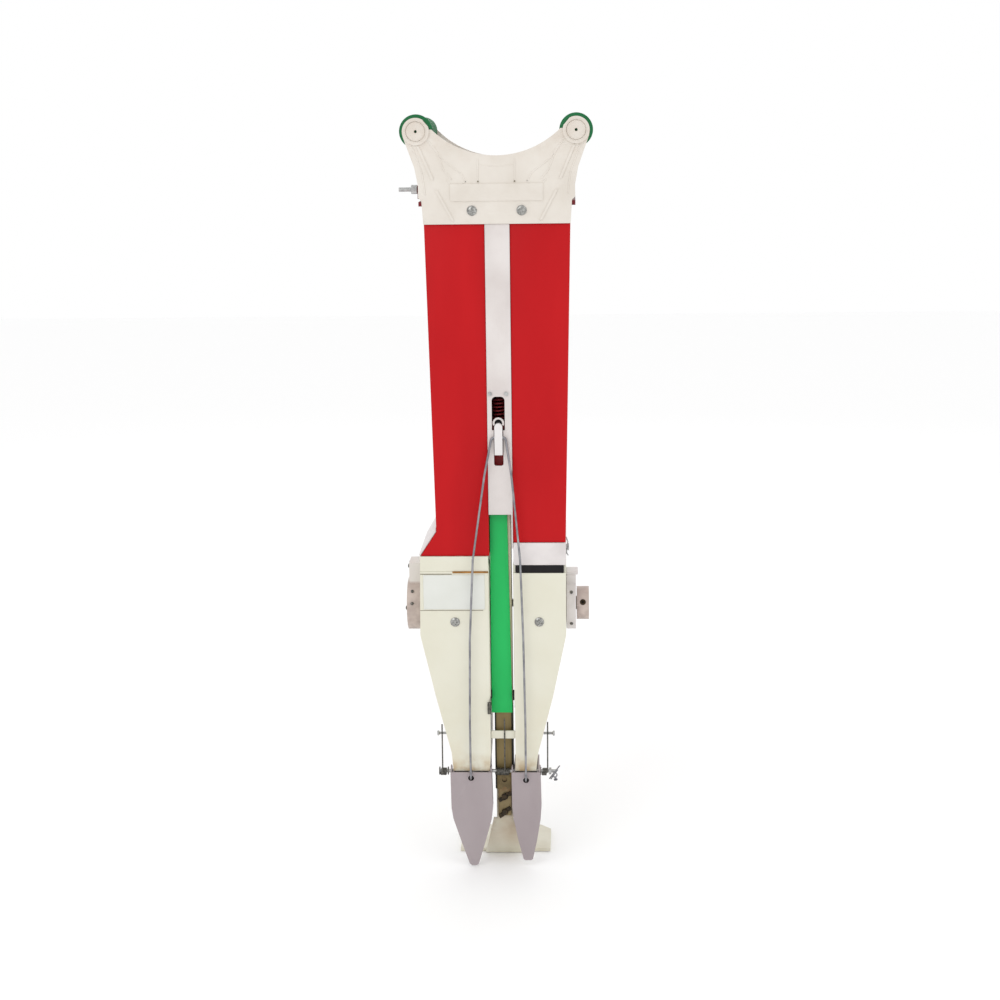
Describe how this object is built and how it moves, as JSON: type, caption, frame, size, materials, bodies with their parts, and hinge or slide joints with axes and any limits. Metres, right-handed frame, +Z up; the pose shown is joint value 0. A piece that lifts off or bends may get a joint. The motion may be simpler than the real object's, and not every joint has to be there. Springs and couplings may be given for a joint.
{
  "type": "hand corn planter",
  "caption": "Hand-held corn planter: seed and fertiliser hoppers over twin duckbill chutes, worked by a sprung foot bar that opens the bills and turns the metering wheels.",
  "frame": {"origin": "on the foot plate's sole, below the slide bar's centre line and the middle of the hoppers' depth", "axes": "+Z up along the slide, -Y the front with the pull wires and bills, +X the fertiliser side"},
  "size_m": [0.2284, 0.1376, 0.9009],
  "materials": {
    "red_plastic": "smooth semi-gloss",
    "red_sheet": "semi-gloss paint",
    "dark_red_plastic": "satin",
    "cream_plastic": "satin moulded",
    "pocket_plastic": "satin moulded",
    "green_rubber": "ridged moulded grip",
    "white_paint": "semi-gloss paint",
    "black_paint": "satin paint",
    "olive_strip": "worn satin",
    "green_plastic": "semi-gloss",
    "black_plastic": "satin moulded",
    "steel": "zinc plated",
    "yellow_zinc": "yellow zinc plated",
    "galvanised": "dull galvanised grey",
    "brass": "tarnished",
    "cream_paint": "scuffed semi-gloss paint",
    "wheel_plastic": "satin moulded"
  },
  "bodies": {
    "frame": {"front_yoke": "cream_plastic", "rear_yoke": "cream_plastic", "handle_rod_left": "cream_plastic", "handle_rod_right": "cream_plastic", "grip_left": "green_rubber", "grip_right": "green_rubber", "yoke_screws": "steel", "seed_hopper": "red_plastic", "fertiliser_hopper": "red_plastic", "seed_front_panel": "red_sheet", "fertiliser_front_panel": "red_sheet", "rear_panel": "red_sheet", "seed_side_pocket": "pocket_plastic", "top_deck": "dark_red_plastic", "lid_hinge_rod": "steel", "lid_rod_nuts": "steel", "centre_channel": "white_paint", "channel_screws": "steel", "return_spring": "red_sheet", "seed_chute_front": "cream_plastic", "seed_chute_rear": "cream_plastic", "fertiliser_chute_front": "cream_plastic", "fertiliser_chute_rear": "cream_plastic", "chute_screws": "steel", "seed_inspection_panel": "cream_plastic", "seed_gate_plate": "brass", "fertiliser_gate_block": "pocket_plastic", "fertiliser_brush": "black_plastic", "seed_throat": "cream_plastic", "fertiliser_throat": "cream_plastic", "guide_rails": "cream_plastic", "guide_strap": "cream_plastic", "seed_wheel_cover": "pocket_plastic", "fertiliser_housing": "cream_plastic", "seed_jaw": "galvanised", "fertiliser_jaw": "galvanised", "jaw_axle": "steel", "axle_collar": "steel", "torsion_springs": "steel", "spring_anchor_screws": "steel"},
    "slide": {"slide_tube": "black_paint", "wear_strip": "olive_strip", "green_sleeve": "green_plastic", "rack_bar": "black_plastic", "pull_block": "black_paint", "foot_stem": "steel", "foot_plate": "cream_paint", "foot_bolts": "steel"},
    "wires": {"pull_wire_left": "steel", "pull_wire_right": "steel"},
    "metering": {"metering_shaft": "steel", "drive_pinion": "black_plastic", "seed_wheel": "wheel_plastic"},
    "dose": {"fertiliser_roller": "wheel_plastic", "adjusting_knob": "pocket_plastic", "knob_set_screw": "steel"},
    "seed_flap": {"seed_flap": "galvanised"},
    "fertiliser_flap": {"fertiliser_flap": "galvanised"},
    "seed_lid": {"seed_lid": "dark_red_plastic"},
    "fertiliser_lid": {"fertiliser_lid": "dark_red_plastic"}
  },
  "joints": [
    {"name": "foot_slide", "type": "slide", "parent": "frame", "child": "slide", "axis": [0, 0, 1], "range_m": [0, 0.02], "stiffness_N_per_m": 2000, "springref_m": -0.03, "deforming": ["return_spring"]},
    {"name": "wire_pull", "type": "slide", "parent": "frame", "child": "wires", "axis": [0, 0, 1], "range_m": [0, 0.0073]},
    {"name": "metering_spin", "type": "hinge", "parent": "frame", "child": "metering", "pos_m": [0, -0.005, 0.3215], "axis": [-1, 0, 0], "range_deg": [0, 90]},
    {"name": "dose_slide", "type": "slide", "parent": "metering", "child": "dose", "axis": [1, 0, 0], "range_m": [0, 0.008]},
    {"name": "seed_flap_hinge", "type": "hinge", "parent": "frame", "child": "seed_flap", "pos_m": [0, -0.0545, 0.1245], "axis": [-1, 0, 0], "range_deg": [0, 36.01]},
    {"name": "fertiliser_flap_hinge", "type": "hinge", "parent": "frame", "child": "fertiliser_flap", "pos_m": [0, -0.0545, 0.1245], "axis": [-1, 0, 0], "range_deg": [0, 36.01]},
    {"name": "seed_lid_hinge", "type": "hinge", "parent": "frame", "child": "seed_lid", "pos_m": [0, 0.044, 0.8142], "axis": [-1, 0, 0], "range_deg": [0, 90]},
    {"name": "fertiliser_lid_hinge", "type": "hinge", "parent": "frame", "child": "fertiliser_lid", "pos_m": [0, 0.044, 0.8142], "axis": [-1, 0, 0], "range_deg": [0, 90]}
  ],
  "couplings": [
    {"joint": "wire_pull", "follows": "foot_slide", "ratio": 0.36},
    {"joint": "metering_spin", "follows": "foot_slide", "rad_per_m": 78.431},
    {"joint": "seed_flap_hinge", "follows": "foot_slide", "rad_per_m": 31.42},
    {"joint": "fertiliser_flap_hinge", "follows": "foot_slide", "rad_per_m": 31.42}
  ]
}
